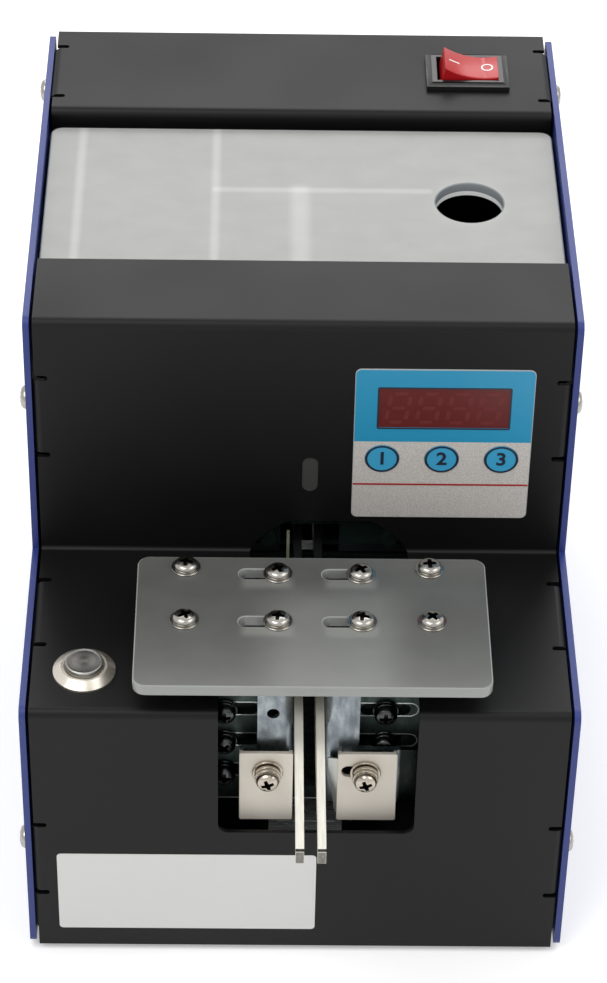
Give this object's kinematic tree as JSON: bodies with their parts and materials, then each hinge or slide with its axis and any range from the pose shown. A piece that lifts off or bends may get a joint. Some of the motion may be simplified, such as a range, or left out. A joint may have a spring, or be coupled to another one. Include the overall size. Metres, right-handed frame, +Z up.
{
  "type": "automatic screw feeder",
  "caption": "Bench-top screw feeder: sheet-metal housing with hopper, swinging lifting blade, brush roller and parallel rails that bring loose screws to pick-up tips at the front.",
  "frame": {"origin": "centre of the bounding box in plan, rail tips included, at the height of the table that the feet stand on", "axes": "+X to the right as seen from the front, +Y from the rail tips to the rear, +Z up"},
  "size_m": [0.1344, 0.2284, 0.1544],
  "materials": {
    "blue_paint": "fine textured powder coat, matt",
    "black_paint": "fine textured powder coat, matt",
    "plated_screw": "bright zinc plate",
    "base_paint": "matt paint",
    "foot_rubber": "matt",
    "zinc_sheet": "zinc plated sheet, rolled",
    "bumper": "clear silicone, soft",
    "smoke_acrylic": "clear acrylic, polished",
    "frosted_acrylic": "frosted acrylic with polished edges",
    "guard_acrylic": "green-edged clear acrylic",
    "membrane": "printed polyester film, satin",
    "red_window": "dark red filter",
    "key_film": "printed film, satin",
    "circuit_board": "solder mask",
    "switch_black": "moulded nylon",
    "rocker_red": "moulded, glossy",
    "chrome_metal": "polished nickel plate",
    "button_steel": "turned steel",
    "bright_steel": "ground",
    "rail_steel": "ground and hardened",
    "guide_grey": "machined plastic",
    "nickel_plate": "bright nickel plate",
    "black_screw": "black oxide",
    "phosphate": "dark phosphate",
    "cast_block": "blasted",
    "core_steel": "stacked laminations",
    "copper_winding": "taped winding",
    "hopper_paint": "matt coat",
    "bronze": "turned bronze",
    "motor_can": "drawn can",
    "brush_bristle": "nylon bristle",
    "gear_nylon": "natural nylon",
    "micro_motor": "passivated"
  },
  "bodies": {
    "housing": {"side_plate_left": "blue_paint", "side_plate_right": "blue_paint", "front_cover": "black_paint", "rear_cover": "black_paint", "cover_screws": "plated_screw", "base_plate": "base_paint", "rubber_feet": "foot_rubber", "lid_ledges": "zinc_sheet", "lid_bumpers": "bumper", "display_panel": "membrane", "display_window": "red_window", "display_board": "circuit_board", "display_posts": "plated_screw", "peep_window": "smoke_acrylic", "switch_housing": "switch_black", "button_housing": "chrome_metal", "button_nut": "plated_screw", "guide_spacers": "plated_screw", "guide_plate": "frosted_acrylic", "guide_screws": "plated_screw", "rail_carrier": "phosphate", "leaf_springs": "bright_steel", "spring_block": "cast_block", "vibrator_core": "core_steel", "vibrator_coil": "copper_winding", "exit_guard": "guard_acrylic", "frame_cheek_left": "zinc_sheet", "frame_cheek_right": "zinc_sheet", "bay_wall": "zinc_sheet", "hopper": "hopper_paint", "shaft_bushes": "bronze", "lift_gearbox": "cast_block", "lift_motor": "motor_can", "brush_motor": "micro_motor", "control_board": "circuit_board", "dc_inlet": "switch_black"},
    "lid": {"lid": "smoke_acrylic"},
    "key_1": {"key_1": "key_film"},
    "key_2": {"key_2": "key_film"},
    "key_3": {"key_3": "key_film"},
    "rocker": {"switch_rocker": "rocker_red"},
    "button": {"button_cap": "button_steel"},
    "left_guide": {"head_guide_left": "guide_grey"},
    "right_guide": {"head_guide_right": "guide_grey"},
    "left_rail": {"rail_left": "rail_steel", "rail_holder_left": "zinc_sheet", "clamp_cap_left": "nickel_plate", "clamp_screw_left": "plated_screw", "slot_screws_left": "black_screw"},
    "right_rail": {"rail_right": "rail_steel", "rail_holder_right": "zinc_sheet", "clamp_cap_right": "nickel_plate", "clamp_screw_right": "plated_screw", "slot_screws_right": "black_screw"},
    "blade": {"lifting_blade": "bright_steel", "blade_shaft": "bright_steel"},
    "brush": {"brush_shaft": "bright_steel", "brush_roller": "brush_bristle", "brush_gear": "gear_nylon"},
    "pinion": {"motor_pinion": "bronze"}
  },
  "joints": [
    {"name": "lid_lift", "type": "slide", "parent": "housing", "child": "lid", "axis": [0, 0, 1], "range_m": [0, 0.04]},
    {"name": "key_1_press", "type": "slide", "parent": "housing", "child": "key_1", "axis": [0, 1, 0], "range_m": [0, 0.0005], "stiffness_N_per_m": 2000},
    {"name": "key_2_press", "type": "slide", "parent": "housing", "child": "key_2", "axis": [0, 1, 0], "range_m": [0, 0.0005], "stiffness_N_per_m": 2000},
    {"name": "key_3_press", "type": "slide", "parent": "housing", "child": "key_3", "axis": [0, 1, 0], "range_m": [0, 0.0005], "stiffness_N_per_m": 2000},
    {"name": "rocker_tilt", "type": "hinge", "parent": "housing", "child": "rocker", "pos_m": [0.0422, 0.09235, 0.1487], "axis": [0, 1, 0], "range_deg": [-22, 0]},
    {"name": "button_press", "type": "slide", "parent": "housing", "child": "button", "axis": [0, 0, -1], "range_m": [0, 0.0015], "stiffness_N_per_m": 800},
    {"name": "left_guide_set", "type": "slide", "parent": "housing", "child": "left_guide", "axis": [-1, 0, 0], "range_m": [0, 0.0075]},
    {"name": "right_guide_set", "type": "slide", "parent": "housing", "child": "right_guide", "axis": [-1, 0, 0], "range_m": [0, 0.0075]},
    {"name": "left_rail_set", "type": "slide", "parent": "housing", "child": "left_rail", "axis": [-1, 0, 0], "range_m": [0, 0.003]},
    {"name": "right_rail_set", "type": "slide", "parent": "housing", "child": "right_rail", "axis": [1, 0, 0], "range_m": [0, 0.004]},
    {"name": "blade_swing", "type": "hinge", "parent": "housing", "child": "blade", "pos_m": [0, 0.00415, 0.0642], "axis": [1, 0, 0], "range_deg": [0, 36]},
    {"name": "brush_spin", "type": "hinge", "parent": "housing", "child": "brush", "pos_m": [0, 0.01315, 0.0925], "axis": [1, 0, 0], "continuous": true},
    {"name": "pinion_spin", "type": "hinge", "parent": "housing", "child": "pinion", "pos_m": [0, 0.02775, 0.0925], "axis": [1, 0, 0], "continuous": true}
  ],
  "couplings": [
    {"joint": "pinion_spin", "follows": "brush_spin", "ratio": -2}
  ]
}
